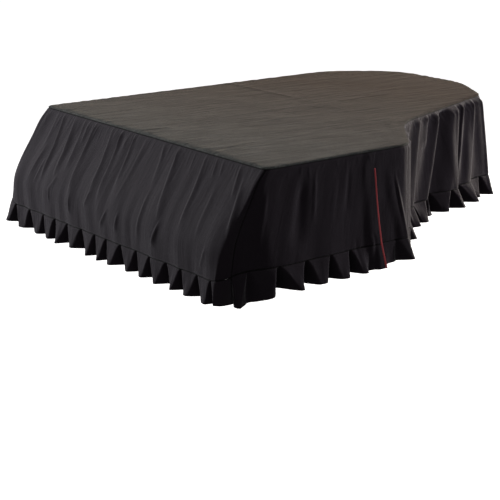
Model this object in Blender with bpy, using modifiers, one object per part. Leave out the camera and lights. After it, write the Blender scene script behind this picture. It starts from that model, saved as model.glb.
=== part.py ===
"""Fitted cloth cover for a grand piano: a flat top sewn to hanging panels that end in a gathered ruffle.

The frame is +Z up, X across from the bass side to the treble side, Y from the keyboard to the tail.
The origin is on the underside of the top panel, where the lid carries the cover. Lengths are metres,
and a drop is a height measured down from the top panel's upper face.
"""
import math
import random
from collections import namedtuple

import bpy
import numpy as np

CLOTH = 0.002
SEAM_GAP = 0.0007
SIDE_SEAM_DROP = 0.317
FRONT_SEAM_DROP = 0.345
RUFFLE_DEPTH = 0.074
FLAP_HEM_DROP = 0.010
CORNER_BLEND = 0.10
ARC_STEPS = 10

# The top panel's edge turns down over the lid's edge: how far in, and how far below the top.
EDGE_TURN = ((0.0160, 0.0000), (0.0070, 0.0010), (0.0022, 0.0030), (0.0003, 0.0062), (0.0000, 0.0100))
EDGE_DROP = EDGE_TURN[-1][1]

# How far a panel has come out from the lid's edge towards the seam line, by its share of the drop.
FRONT_SECTION = ((0.00, 0.00), (0.30, 0.45), (0.55, 0.82), (0.68, 0.95), (1.00, 1.00))
SIDE_SECTION = ((0.00, 0.00), (0.10, 0.22), (0.30, 0.42), (1.00, 1.00))

# The ruffle's hem hangs lower round a place just behind the front treble corner.
CORNER_HEM_DROP = 0.028
CORNER_HEM_AT = 0.045
CORNER_HEM_REACH = 0.11

# The gathered ruffle: how far its pleats swing out at the hem, and how that varies along the hem.
PLEAT_PITCH = 0.092
PLEAT_SWING = 0.030
PLEAT_SWING_WAVE = 0.2
PLEAT_SWING_WAVELENGTH = 0.317
PLEAT_STEPS = 6
RUFFLE_FLARE = 0.008
RUFFLE_ROWS = (0.0, 0.45, 1.0)

# Where the ruffle hangs flatter: its place from the slit or the corner, its half width, its softness.
FLAT_BY_SLIT = (0.063, 0.075, 0.050, 0.7)
FLAT_BY_CORNER = (0.050, 0.096, 0.060, 0.6)

# Where the ruffle's pleats stand out, along the lid's edge from each panel's start. The pleats of
# the tail and the bass side are spaced by a loop.
FRONT_PLEATS = (0.03, 0.12, 0.25, 0.32, 0.43, 0.51, 0.63, 0.71, 0.80, 0.90, 1.00, 1.09, 1.19, 1.285,
                1.38, 1.46)
TREBLE_PLEATS = (0.04, 0.12, 0.22, 0.325, 0.41)
BENT_SIDE_PLEATS = (0.07, 0.155, 0.24, 0.33, 0.42, 0.505, 0.585, 0.66, 0.745, 0.825, 0.905, 0.985,
                    1.06, 1.135, 1.21, 1.29)
PLEAT_UNEVENNESS = 0.18

# The slit in the treble side: its place behind the front corner, its top, and the flap over it.
SLIT_AT = 0.433
SLIT_SWEEP = 0.063
SLIT_DROP = 0.062
FLAP_MARGIN = 0.050
FLAP_LIFT = 0.0036
FLAP_FLARE = 0.009
UNDERLAP = 0.016
FLAP_CLEAR = 0.006
EDGING_WIDTH = 0.006

# The lid's edge and the lower seam's line, anticlockwise from above: one rounded corner to a row.
Corner = namedtuple("Corner", "name x y radius")
LID_CORNERS = (
    ("front bass", -0.750, -0.600, 0.022),
    ("front treble", 0.756, -0.600, 0.022),
    ("rear treble", 0.720, -0.010, 0.090),
    ("waist", 0.385, 0.217, 0.420),
    ("tail treble", 0.113, 0.795, 0.080),
    ("tail end treble", -0.144, 0.916, 0.400),
    ("tail end bass", -0.552, 0.914, 0.280),
    ("tail bass", -0.748, 0.688, 0.240),
)
SEAM_CORNERS = (
    ("front bass", -0.773, -0.774, 0.062),
    ("front treble", 0.790, -0.772, 0.060),
    ("rear treble", 0.716, -0.018, 0.090),
    ("waist", 0.376, 0.209, 0.420),
    ("tail treble", 0.078, 0.870, 0.110),
    ("tail end treble", -0.140, 0.956, 0.380),
    ("tail end bass", -0.562, 0.950, 0.280),
    ("tail bass", -0.782, 0.698, 0.240),
)

# The folds of each panel. A row is a ridge, or a trough where its height is below 0: its place along
# the lid's edge from the panel's start, its half width and its height, at the top and at the seam.
Fold = namedtuple("Fold", "at_top at_seam width_top width_seam height_top height_seam")
FRONT_FOLDS = (
    (0.045, 0.080, 0.025, 0.040, 0.004, 0.006),
    (0.135, 0.190, 0.022, 0.040, 0.005, 0.007),
    (0.275, 0.330, 0.022, 0.040, 0.005, 0.005),
    (0.355, 0.410, 0.024, 0.040, 0.006, 0.004),
    (0.425, 0.520, 0.024, 0.048, 0.008, 0.010),
    (0.560, 0.640, 0.022, 0.044, 0.005, 0.008),
    (0.650, 0.730, 0.022, 0.042, 0.006, 0.006),
    (0.720, 0.830, 0.024, 0.050, 0.006, 0.007),
    (1.000, 1.080, 0.030, 0.060, 0.005, 0.009),
    (1.190, 1.240, 0.024, 0.050, 0.004, 0.006),
    (1.385, 1.412, 0.024, 0.046, 0.004, 0.007),
)
TREBLE_FOLDS = (
    (0.012, 0.070, 0.0070, 0.043, 0.000, -0.022),
    (0.175, 0.190, 0.050, 0.060, 0.002, 0.007),
    (0.300, 0.305, 0.045, 0.050, 0.001, 0.006),
)
BENT_SIDE_FOLDS = (
    (0.046, 0.138, 0.014, 0.018, 0.000, 0.006),
    (0.155, 0.155, 0.028, 0.034, 0.003, 0.006),
    (0.310, 0.300, 0.036, 0.044, 0.005, 0.012),
    (0.430, 0.420, 0.036, 0.044, 0.006, 0.014),
    (0.658, 0.594, 0.030, 0.038, 0.008, 0.013),
    (0.805, 0.703, 0.030, 0.042, 0.010, 0.015),
    (0.945, 0.889, 0.030, 0.038, 0.014, 0.028),
    (1.010, 0.937, 0.018, 0.024, 0.008, 0.006),
    (1.083, 0.989, 0.026, 0.034, 0.010, 0.021),
    (1.150, 1.130, 0.028, 0.042, 0.010, 0.018),
)
TAIL_FOLDS = (
    (0.075, 0.085, 0.034, 0.046, 0.010, 0.024),
    (0.190, 0.200, 0.034, 0.046, 0.008, 0.018),
    (0.310, 0.300, 0.036, 0.050, 0.010, 0.026),
    (0.430, 0.440, 0.034, 0.050, 0.008, 0.018),
    (0.555, 0.545, 0.036, 0.048, 0.010, 0.024),
    (0.695, 0.705, 0.036, 0.050, 0.008, 0.020),
)
BASS_FOLDS = (
    (0.120, 0.130, 0.050, 0.060, 0.004, 0.014),
    (0.330, 0.320, 0.060, 0.070, 0.002, 0.008),
    (0.600, 0.610, 0.060, 0.070, 0.002, 0.009),
    (0.860, 0.850, 0.060, 0.070, 0.002, 0.007),
    (1.050, 1.060, 0.040, 0.050, 0.003, 0.009),
    (1.267, 1.209, 0.0070, 0.043, 0.000, -0.018),
)
FOLD_RISE = 0.12
FOLD_FOOT = 1.6
CORNER_COLUMNS_AT = (0.0, 0.004, 0.008, 0.0125, 0.018, 0.026)
PANEL_ROWS = (0.0, 0.05, 0.14, 0.30, 0.50, 0.70, 0.85, 1.0)

# Name, colour and roughness of each cloth.
TOP_CLOTH = ("top cloth", (0.105, 0.100, 0.098), 0.72)
HANGING_CLOTH = ("hanging cloth", (0.038, 0.034, 0.039), 0.70)
RED_CLOTH = ("red edging cloth", (0.330, 0.030, 0.035), 0.75)


class Loop:
    """A closed line of rounded corners, read by the length along it from its first corner's middle."""

    def __init__(self, corners):
        corners = [Corner(*row) for row in corners]
        places = np.array([(corner.x, corner.y) for corner in corners])
        points = []
        for index, corner in enumerate(corners):
            place = places[index]
            before = places[index - 1] - place
            after = places[(index + 1) % len(corners)] - place
            before /= np.linalg.norm(before)
            after /= np.linalg.norm(after)
            half_angle = 0.5 * math.acos(before @ after)
            inward = (before + after) / np.linalg.norm(before + after)
            centre = place + inward * corner.radius / math.sin(half_angle)
            start = place + before * corner.radius / math.tan(half_angle) - centre
            end = place + after * corner.radius / math.tan(half_angle) - centre
            first = math.atan2(start[1], start[0])
            turn = (math.atan2(end[1], end[0]) - first + math.pi) % math.tau - math.pi
            for angle in first + turn * np.linspace(0.0, 1.0, ARC_STEPS + 1):
                points.append(centre + corner.radius * np.array((math.cos(angle), math.sin(angle))))
        middle = ARC_STEPS // 2
        points = np.roll(np.array(points), -middle, axis=0)
        self.points = np.vstack((points, points[:1]))
        steps = np.linalg.norm(np.diff(self.points, axis=0), axis=1)
        self.lengths = np.concatenate(((0.0,), np.cumsum(steps)))
        self.total = self.lengths[-1]
        self.corners = self.lengths[::ARC_STEPS + 1]

    def at(self, along):
        wrapped = along % self.total
        return np.stack([np.interp(wrapped, self.lengths, self.points[:, axis]) for axis in (0, 1)], -1)

    def outward(self, along, reach=0.004):
        tangent = self.at(along + reach) - self.at(along - reach)
        normal = np.stack((tangent[..., 1], -tangent[..., 0]), -1)
        return normal / np.linalg.norm(normal, axis=-1, keepdims=True)


LID = Loop(LID_CORNERS)
SEAM = Loop(SEAM_CORNERS)
FRONT_TREBLE = LID.corners[1]
SLIT = FRONT_TREBLE + SLIT_AT
TAIL_SEAM = LID.corners[4] + 0.16
BASS_SEAM = LID.corners[7]


def smooth(value):
    value = np.clip(value, 0.0, 1.0)
    return value * value * (3.0 - 2.0 * value)


def frontness(along):
    """1 across the front, 0 along the sides, and a half at the two front corners."""
    middle = FRONT_TREBLE / 2.0
    away = np.abs((along - middle + LID.total / 2.0) % LID.total - LID.total / 2.0) - middle
    return 1.0 - smooth(away / (2.0 * CORNER_BLEND) + 0.5)


def seam_drop(along):
    return SIDE_SEAM_DROP + (FRONT_SEAM_DROP - SIDE_SEAM_DROP) * frontness(along)


def ruffle_depth(along, flap):
    """The ruffle hangs lower round the front treble corner, and a little lower on the slit's flap."""
    beside_corner = np.abs(along - FRONT_TREBLE - CORNER_HEM_AT) / CORNER_HEM_REACH
    on_flap = FLAP_HEM_DROP * (1.0 - frontness(along)) if flap else 0.0
    return RUFFLE_DEPTH + CORNER_HEM_DROP * smooth(1.0 - beside_corner) + on_flap


def fold_height(along, share, start, folds):
    height = np.zeros_like(along)
    for fold in (Fold(*row) for row in folds):
        centre = start + fold.at_top + (fold.at_seam - fold.at_top) * share
        width = fold.width_top + (fold.width_seam - fold.width_top) * share
        crest = fold.height_top + (fold.height_seam - fold.height_top) * share
        nearness = np.clip(np.abs(along - centre) / (FOLD_FOOT * width), 0.0, 1.0)
        height += crest * (0.5 + 0.5 * np.cos(math.pi * nearness))
    return height * smooth(share / FOLD_RISE)


def slit_line(drop):
    """The slit's place along the lid's edge at a drop: it runs a little back on its way down."""
    return SLIT + SLIT_SWEEP * drop / (SIDE_SEAM_DROP + RUFFLE_DEPTH)


def flap_lift(along, drop):
    """The front flap lies over the rear edge of the slit and stands away from it lower down."""
    over_underlap = FLAP_MARGIN - UNDERLAP - FLAP_CLEAR
    margin = smooth((along - slit_line(drop) + FLAP_MARGIN) / over_underlap)
    return margin * (FLAP_LIFT + FLAP_FLARE * (drop / (SIDE_SEAM_DROP + RUFFLE_DEPTH)) ** 2)


def hang(along, share, start, folds, flap):
    """Points on the outer face of a hanging panel, and the outward direction at each."""
    front = frontness(along)
    on_front = np.interp(share, *zip(*FRONT_SECTION))
    on_side = np.interp(share, *zip(*SIDE_SECTION))
    reach = (front * on_front + (1.0 - front) * on_side)[..., None]
    along_seam = np.interp(along, LID.corners, SEAM.corners)
    outward = LID.outward(along) * (1.0 - reach) + SEAM.outward(along_seam) * reach
    outward /= np.linalg.norm(outward, axis=-1, keepdims=True)
    top = EDGE_DROP + SEAM_GAP
    drop = top + (seam_drop(along) - top) * share
    height = fold_height(along, share, start, folds)
    if flap:
        height = height + flap_lift(along, drop)
    flat = LID.at(along) * (1.0 - reach) + SEAM.at(along_seam) * reach + outward * height[..., None]
    return np.concatenate((flat, (CLOTH - drop)[..., None]), -1), outward


def panel_face(along, share, start, folds, flap):
    return hang(along, share, start, folds, flap)[0]


def pleat_places():
    """Every pleat's place along the lid's edge: the three listed stretches, then an uneven row."""
    places = list(FRONT_PLEATS)
    places += [FRONT_TREBLE + place for place in TREBLE_PLEATS]
    places += [SLIT + place for place in BENT_SIDE_PLEATS]
    uneven = random.Random(11)
    left = LID.total + places[0] - places[-1]
    count = round(left / PLEAT_PITCH)
    gaps = [1.0 + uneven.uniform(-PLEAT_UNEVENNESS, PLEAT_UNEVENNESS) for _ in range(count)]
    for gap in gaps[:-1]:
        places.append(places[-1] + left * gap / sum(gaps))
    return np.array(places)


PLEATS = pleat_places()


def flatter(along, start, place, half_width, softness, share):
    """1 where the ruffle swings fully, less by a share of it near one place."""
    inside = half_width - np.abs(along - start - place)
    return 1.0 - share * smooth(inside / softness)


def pleat_swing(along):
    """How far the ruffle stands out at its hem, less beside the slit and the front treble corner."""
    places = np.append(PLEATS, PLEATS[0] + LID.total)
    turns = np.interp((along - places[0]) % LID.total + places[0], places, np.arange(len(places)))
    depth = 1.0 + PLEAT_SWING_WAVE * np.sin(math.tau * along / PLEAT_SWING_WAVELENGTH)
    depth *= flatter(along, SLIT, *FLAT_BY_SLIT) * flatter(along, FRONT_TREBLE, *FLAT_BY_CORNER)
    return PLEAT_SWING * depth * (0.5 + 0.5 * np.cos(math.tau * turns))


def ruffle_face(along, share, start, folds, flap):
    """Points on the outer face of the ruffle, which hangs from the lower edge of its panel."""
    head, outward = hang(along, np.ones_like(share), start, folds, flap)
    drop = seam_drop(along) + SEAM_GAP + ruffle_depth(along, flap) * share
    swing = RUFFLE_FLARE * share + pleat_swing(along) * share ** 0.8
    if flap:
        swing = swing + flap_lift(along, drop) - flap_lift(along, seam_drop(along))
    flat = head[..., :2] + outward * swing[..., None]
    return np.concatenate((flat, (CLOTH - drop)[..., None]), -1)


def slit_edging_face(along, share, start, folds, flap):
    """Points on the edging, which runs from the slit's top through the ruffle's hem."""
    drop = edging_drop(share)
    top = EDGE_DROP + SEAM_GAP
    above = panel_face(along, np.clip((drop - top) / (SIDE_SEAM_DROP - top), 0, 1), start, folds, flap)
    hem = ruffle_depth(along, flap)
    below = ruffle_face(along, np.clip((drop - SIDE_SEAM_DROP) / hem, 0, 1), start, folds, flap)
    points = np.where((drop > SIDE_SEAM_DROP)[..., None], below, above)
    points[..., 2] = CLOTH - drop
    return points


def material(name, colour, roughness):
    made = bpy.data.materials.get(name)
    if made is None:
        made = bpy.data.materials.new(name)
        made.use_nodes = True
        shader = made.node_tree.nodes["Principled BSDF"]
        shader.inputs["Base Color"].default_value = (*colour, 1.0)
        shader.inputs["Roughness"].default_value = roughness
        shader.inputs["Metallic"].default_value = 0.0
    return made


def add_sheet(name, points, faces, cloth):
    """An open surface made a sheet of cloth, with its thickness on the inner side."""
    mesh = bpy.data.meshes.new(name)
    mesh.from_pydata([tuple(point) for point in points], [], faces)
    mesh.shade_smooth()
    mesh.materials.append(material(*cloth))
    sheet = bpy.data.objects.new(name, mesh)
    bpy.data.collections[COLLECTION].objects.link(sheet)
    thickness = sheet.modifiers.new("thickness", "SOLIDIFY")
    thickness.thickness = CLOTH
    thickness.offset = -1.0
    return sheet


def column_fractions(length, columns, corner_start, corner_end):
    """Even columns, with closer ones where the panel turns round a corner of the lid."""
    close = np.array(CORNER_COLUMNS_AT) / length
    first = close if corner_start else close[:1]
    last = 1.0 - (close if corner_end else close[:1])[::-1]
    between = np.linspace(first[-1], last[0], columns + 1)
    return np.concatenate((first[:-1], between, last[1:]))


def add_hanging(name, face, start, end, rows, columns, cloth, folds, flap=False, corners=(False, False)):
    """A sheet on a grid between two lines down the cover, each given by its place at a drop."""
    shares = np.array(rows)
    length = float((end(shares) - start(shares)).mean())
    share, fraction = np.meshgrid(shares, column_fractions(length, columns, *corners), indexing="ij")
    along = start(share) + (end(share) - start(share)) * fraction
    points = face(along, share, FOLD_STARTS[folds], FOLD_TABLES[folds], flap)
    width = share.shape[1]
    faces = [
        (row * width + column, (row + 1) * width + column, (row + 1) * width + column + 1,
         row * width + column + 1)
        for row in range(len(shares) - 1)
        for column in range(width - 1)
    ]
    return add_sheet(name, points.reshape(-1, 3), faces, cloth)


def add_top():
    """The top panel: flat on the lid, with its edge turned down over the lid's edge."""
    along = LID.lengths[:-1]
    count = len(along)
    rings = [
        np.column_stack((LID.at(along) - LID.outward(along) * inset, np.full(count, CLOTH - drop)))
        for inset, drop in EDGE_TURN
    ]
    faces = [tuple(range(count))]
    for ring in range(len(rings) - 1):
        for index in range(count):
            after = (index + 1) % count
            faces.append((ring * count + index, (ring + 1) * count + index,
                          (ring + 1) * count + after, ring * count + after))
    return add_sheet("top_panel", np.concatenate(rings), faces, TOP_CLOTH)


FOLD_TABLES = {
    "front": FRONT_FOLDS,
    "treble": TREBLE_FOLDS,
    "bent_side": BENT_SIDE_FOLDS,
    "tail": TAIL_FOLDS,
    "bass": BASS_FOLDS,
}
FOLD_STARTS = {
    "front": 0.0,
    "treble": FRONT_TREBLE,
    "bent_side": SLIT,
    "tail": TAIL_SEAM,
    "bass": BASS_SEAM,
}
COLLECTION = "grand piano cover"


def panel_drop(share):
    return EDGE_DROP + SEAM_GAP + (SIDE_SEAM_DROP - EDGE_DROP - SEAM_GAP) * share


def ruffle_drop(share):
    return SIDE_SEAM_DROP + SEAM_GAP + RUFFLE_DEPTH * share


def edging_drop(share):
    return SLIT_DROP + (ruffle_drop(1.0) + FLAP_HEM_DROP - SLIT_DROP) * share


def fixed(place):
    """A vertical seam: the same place along the lid's edge at every height."""
    return lambda share: np.full_like(share, place)


def beside_slit(drop_at, offset):
    """A line beside the slit, at a distance behind it."""
    return lambda share: slit_line(drop_at(share)) + offset


def build():
    for leftover in list(bpy.data.objects):
        bpy.data.objects.remove(leftover, do_unlink=True)
    bpy.context.scene.collection.children.link(bpy.data.collections.new(COLLECTION))
    add_top()
    half_gap = SEAM_GAP / 2.0
    stretches = (
        ("front", fixed(half_gap), fixed(FRONT_TREBLE - half_gap)),
        ("treble", fixed(FRONT_TREBLE + half_gap), None),
        ("bent_side", None, fixed(TAIL_SEAM - half_gap)),
        ("tail", fixed(TAIL_SEAM + half_gap), fixed(BASS_SEAM - half_gap)),
        ("bass", fixed(BASS_SEAM + half_gap), fixed(LID.total - half_gap)),
    )
    panel_columns = {"front": 60, "treble": 16, "bent_side": 62, "tail": 44, "bass": 28}
    corner_ends = {"front": (True, True), "treble": (True, False), "bass": (False, True)}
    for name, start, end in stretches:
        flap = name == "treble"
        corners = corner_ends.get(name, (False, False))
        for kind, face, drop_at, rows in (
            ("panel", panel_face, panel_drop, PANEL_ROWS),
            ("ruffle", ruffle_face, ruffle_drop, RUFFLE_ROWS),
        ):
            low = start or beside_slit(drop_at, -UNDERLAP)
            high = end or beside_slit(drop_at, 0.0)
            columns = panel_columns[name]
            if kind == "ruffle":
                length = float(high(np.ones(1))[0] - low(np.ones(1))[0])
                columns = round(length / PLEAT_PITCH * PLEAT_STEPS)
            add_hanging(f"{name}_{kind}", face, low, high, rows, columns, HANGING_CLOTH, name, flap,
                        corners)
    add_hanging("slit_edging", slit_edging_face, beside_slit(edging_drop, SEAM_GAP),
                beside_slit(edging_drop, SEAM_GAP + EDGING_WIDTH), np.linspace(0.0, 1.0, 9), 1,
                RED_CLOTH, "treble", True)


build()
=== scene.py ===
"""A fitted cloth cover for a grand piano: a flat top, hanging panels and a gathered ruffle.

The frame is +Z up, X from the bass side to the treble side, Y from the keyboard to the tail, in metres,
with its origin on the underside of the top panel. A drop is measured down from the top panel's face.
"""

import math
import random
from collections import namedtuple

import bpy
import numpy as np
from mathutils import Matrix, Vector


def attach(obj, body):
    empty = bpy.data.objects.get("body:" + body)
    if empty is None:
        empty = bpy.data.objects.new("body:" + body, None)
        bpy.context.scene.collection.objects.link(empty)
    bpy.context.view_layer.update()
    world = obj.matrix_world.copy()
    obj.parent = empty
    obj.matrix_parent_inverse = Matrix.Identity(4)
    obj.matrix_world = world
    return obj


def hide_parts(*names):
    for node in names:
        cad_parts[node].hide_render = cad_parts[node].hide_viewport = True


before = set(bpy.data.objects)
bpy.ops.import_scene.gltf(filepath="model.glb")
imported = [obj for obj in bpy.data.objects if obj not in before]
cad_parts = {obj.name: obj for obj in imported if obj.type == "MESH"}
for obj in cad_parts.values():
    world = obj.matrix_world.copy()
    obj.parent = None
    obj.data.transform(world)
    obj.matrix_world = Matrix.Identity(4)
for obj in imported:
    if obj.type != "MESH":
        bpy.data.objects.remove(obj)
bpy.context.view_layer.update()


# The view: a long lens from the front treble side, a little above the top panel. It is the height and
# the angle of someone who stands back to see the whole cover.
LENS = 130.53
SENSOR_WIDTH = 36.0
EYE = Vector((5.365, -3.601, 1.143))
TURN, TILT, ROLL = math.radians(57.5), math.radians(14.289), math.radians(-1.424)

ahead = Vector((-math.sin(TURN) * math.cos(TILT), math.cos(TURN) * math.cos(TILT), -math.sin(TILT)))
level = Vector((math.cos(TURN), math.sin(TURN), 0.0))
upright = level.cross(ahead)
right = math.cos(ROLL) * level + math.sin(ROLL) * upright
above = -math.sin(ROLL) * level + math.cos(ROLL) * upright
camera = bpy.data.objects.new("camera", bpy.data.cameras.new("camera"))
camera.data.lens = LENS
camera.data.sensor_width = SENSOR_WIDTH
camera.matrix_world = Matrix((
    (right.x, above.x, -ahead.x, EYE.x),
    (right.y, above.y, -ahead.y, EYE.y),
    (right.z, above.z, -ahead.z, EYE.z),
    (0.0, 0.0, 0.0, 1.0),
))
bpy.context.collection.objects.link(camera)
bpy.context.scene.camera = camera


# The studio: a pale matt floor a metre below the top panel and pale surroundings. A broad window light
# from behind the bass side falls on the top, and three soft lights skim the cloth so that its folds
# stand out: one before the bass side, one behind the tail and one along the treble side.
WHITE = (1.0, 1.0, 1.0, 1.0)
SURROUNDINGS = 0.15
WINDOW_FROM = (-4.2, 2.0, 3.0)
WINDOW_STRENGTH = 0.22
WINDOW_COLOUR = (1.0, 0.91, 0.80)
WINDOW_SPREAD = math.radians(24.0)
SOFT_LIGHTS_AIM = Vector((0.0, 0.1, -0.2))
# Each soft light's name, place, width, power in watts and colour.
SOFT_LIGHTS = (
    ("light before the bass side", (-4.0, -2.9, 1.1), 0.7, 116.0, (0.97, 0.97, 1.0)),
    ("light behind the tail", (-0.3, 4.6, 0.35), 0.6, 125.0, (1.0, 0.92, 0.80)),
    ("light along the treble side", (1.6, 4.7, 0.7), 0.5, 72.0, (1.0, 0.93, 1.0)),
)
FLOOR_BELOW = 1.010
FLOOR_REACH = 60.0
FLOOR_ROUGHNESS = 0.9
FLOOR_CLOUDS_PER_METRE = 1.5
FLOOR_FOR_EYE = (0.89, 0.91)
FLOOR_FOR_CLOTH = 0.10
FLOOR_GLOW = 0.90


def add_node(tree, kind, values=()):
    """A shader node, with the values given set on its inputs."""
    node = tree.nodes.new("ShaderNode" + kind)
    for socket, value in dict(values).items():
        node.inputs[socket].default_value = value
    return node


def join(source, output, target, socket):
    """Lead an output of one node to an input of another in the same tree."""
    target.id_data.links.new(source.outputs[output], target.inputs[socket])


bpy.context.scene.view_settings.view_transform = "Standard"
world = bpy.data.worlds.new("pale surroundings")
world.use_nodes = True
surroundings = world.node_tree.nodes["Background"]
surroundings.inputs["Color"].default_value = WHITE
surroundings.inputs["Strength"].default_value = SURROUNDINGS
seen = add_node(world.node_tree, "Background", {"Color": WHITE, "Strength": 1.0})
seen_or_lit = add_node(world.node_tree, "MixShader")
eye_ray = add_node(world.node_tree, "LightPath")
join(eye_ray, "Is Camera Ray", seen_or_lit, 0)
join(surroundings, 0, seen_or_lit, 1)
join(seen, 0, seen_or_lit, 2)
join(seen_or_lit, 0, world.node_tree.nodes["World Output"], "Surface")
bpy.context.scene.world = world

window = bpy.data.objects.new("window light", bpy.data.lights.new("window light", "SUN"))
window.data.energy = WINDOW_STRENGTH
window.data.angle = WINDOW_SPREAD
window.data.color = WINDOW_COLOUR
window.rotation_euler = (-Vector(WINDOW_FROM)).to_track_quat("-Z", "Y").to_euler()
bpy.context.collection.objects.link(window)
for name, place, width, watts, colour in SOFT_LIGHTS:
    lamp = bpy.data.lights.new(name, "AREA")
    lamp.shape = "DISK"
    lamp.size = width
    lamp.energy = watts
    lamp.color = colour
    light = bpy.data.objects.new(name, lamp)
    light.location = place
    light.rotation_euler = (SOFT_LIGHTS_AIM - Vector(place)).to_track_quat("-Z", "Y").to_euler()
    light.visible_camera = False
    bpy.context.collection.objects.link(light)

floor_mesh = bpy.data.meshes.new("floor")
floor_mesh.from_pydata(
    [(x * FLOOR_REACH, y * FLOOR_REACH, -FLOOR_BELOW) for x, y in ((-1, -1), (1, -1), (1, 1), (-1, 1))],
    [], [(0, 1, 2, 3)])
floor_paint = bpy.data.materials.new("pale matt floor")
floor_paint.use_nodes = True
tree = floor_paint.node_tree
paint = tree.nodes["Principled BSDF"]
paint.inputs["Roughness"].default_value = FLOOR_ROUGHNESS
paint.inputs["Emission Color"].default_value = WHITE
where = add_node(tree, "TexCoord")
clouds = add_node(tree, "TexNoise", {"Scale": FLOOR_CLOUDS_PER_METRE})
tones = add_node(tree, "MapRange", {"To Min": FLOOR_FOR_EYE[0], "To Max": FLOOR_FOR_EYE[1]})
quiet = add_node(tree, "Mix", {"A": FLOOR_FOR_CLOTH})
eye_ray = add_node(tree, "LightPath")
glow = add_node(tree, "Math", {1: FLOOR_GLOW})
glow.operation = "MULTIPLY"
join(where, "Object", clouds, "Vector")
join(clouds, "Fac", tones, "Value")
join(eye_ray, "Is Camera Ray", quiet, "Factor")
join(tones, "Result", quiet, "B")
join(quiet, "Result", paint, "Base Color")
join(eye_ray, "Is Camera Ray", glow, 0)
join(glow, 0, paint, "Emission Strength")
floor_mesh.materials.append(floor_paint)
floor = bpy.data.objects.new("floor", floor_mesh)
bpy.context.collection.objects.link(floor)


# The top panel: one flat piece of black woven cloth cut to the closed lid, with a deep red reverse. Its
# edge turns down over the lid's edge, where the hanging panels are sewn on. The pull of that seam draws
# short wrinkles in from the front edge, and the cloth keeps faint creases from being packed.
CLOTH = 0.002
SEAM_GAP = 0.0004
ARC_STEPS = 24
EDGE_TURN = ((0.0160, 0.0), (0.0080, 0.0001), (0.0046, 0.0004), (0.0026, 0.0010), (0.0012, 0.0018),
             (0.0004, 0.0028), (0.0001, 0.0040), (0.0003, 0.0050), (0.0008, 0.0056), (0.0016, 0.006),
             (0.0085, 0.0060))
EDGE_DROP = 0.006
# The drop where the painted seam shade starts on the top's turned-in edge, and how far down it takes to come
# in fully.
EDGE_SEAM_SHADE_FROM = 0.0052
EDGE_SEAM_SHADE_OVER = 0.0006
EDGE_PUCKER = 0.0008
EDGE_PUCKER_REACH = 0.020
TOP_COLUMNS = 690
TOP_FRONT_COLUMNS = 340
TOP_RINGS = 52
TOP_RING_CROWDING = 1.25
TOP_CENTRE = (-0.14, 0.10)
TOP_HALF_WIDTH = 0.7
TOP_SWELL = 0.0006
TOP_FLAT_TO = 0.004
WRINKLES_FADE_IN = 0.014
WRINKLE_REACH = 1.35
WRINKLE_NEAR_SIDE = 1.9
WRINKLE_FAR_SIDE = 1.1
WRINKLE_GAIN = 1.15
WRINKLE_BOW = 0.06
WRINKLE_START = 0.12
WRINKLE_TAIL = 0.6

Corner = namedtuple("Corner", "name x y radius")
LID_CORNERS = (
    ("front bass", -0.750, -0.600, 0.022),
    ("front treble", 0.756, -0.600, 0.022),
    ("rear treble", 0.720, -0.010, 0.090),
    ("waist", 0.385, 0.217, 0.420),
    ("tail treble", 0.113, 0.795, 0.080),
    ("tail end treble", -0.144, 0.916, 0.400),
    ("tail end bass", -0.552, 0.914, 0.280),
    ("tail bass", -0.748, 0.688, 0.240),
)

# Each wrinkle of the top: where it starts and ends, its half width and its height.
TopWrinkle = namedtuple("TopWrinkle", "x0 y0 x1 y1 width height")
TOP_WRINKLES = (
    (-0.600, -0.600, -0.665, -0.455, 0.014, 0.003),
    (-0.535, -0.600, -0.560, -0.520, 0.010, 0.0018),
    (-0.345, -0.600, -0.352, -0.520, 0.009, 0.0022),
    (-0.285, -0.600, -0.278, -0.520, 0.009, 0.0022),
    (-0.190, -0.600, -0.182, -0.545, 0.010, 0.0014),
    (-0.062, -0.600, -0.035, -0.480, 0.012, 0.003),
    (0.000, -0.600, 0.022, -0.475, 0.011, 0.0028),
    (0.036, -0.600, 0.050, -0.520, 0.009, 0.0016),
    (0.196, -0.600, 0.212, -0.480, 0.012, 0.0026),
    (0.256, -0.600, 0.262, -0.440, 0.013, 0.003),
    (0.385, -0.600, 0.376, -0.390, 0.014, 0.0032),
    (0.448, -0.600, 0.436, -0.430, 0.011, 0.0026),
    (0.502, -0.600, 0.500, -0.440, 0.010, 0.003),
    (0.534, -0.600, 0.545, -0.460, 0.010, 0.0026),
    (0.660, -0.600, 0.668, -0.520, 0.012, 0.0016),
    (-0.070, 0.150, -0.030, 0.212, 0.008, 0.0012),
    (-0.040, 0.150, 0.004, 0.205, 0.007, 0.001),
    (0.086, 0.140, 0.112, 0.212, 0.008, 0.0012),
    (0.060, -0.110, 0.075, -0.020, 0.012, 0.0012),
    (0.330, 0.235, 0.430, 0.120, 0.013, 0.001),
    (0.420, 0.160, 0.540, 0.065, 0.012, 0.0009),
    (0.480, 0.060, 0.600, -0.020, 0.016, 0.0007),
    (-0.735, 0.205, -0.020, 0.195, 0.0075, 0.0014),
    (-0.100, 0.215, -0.106, 0.620, 0.0075, 0.0012),
    (-0.104, -0.060, -0.100, 0.180, 0.0075, 0.0009),
)


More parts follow.
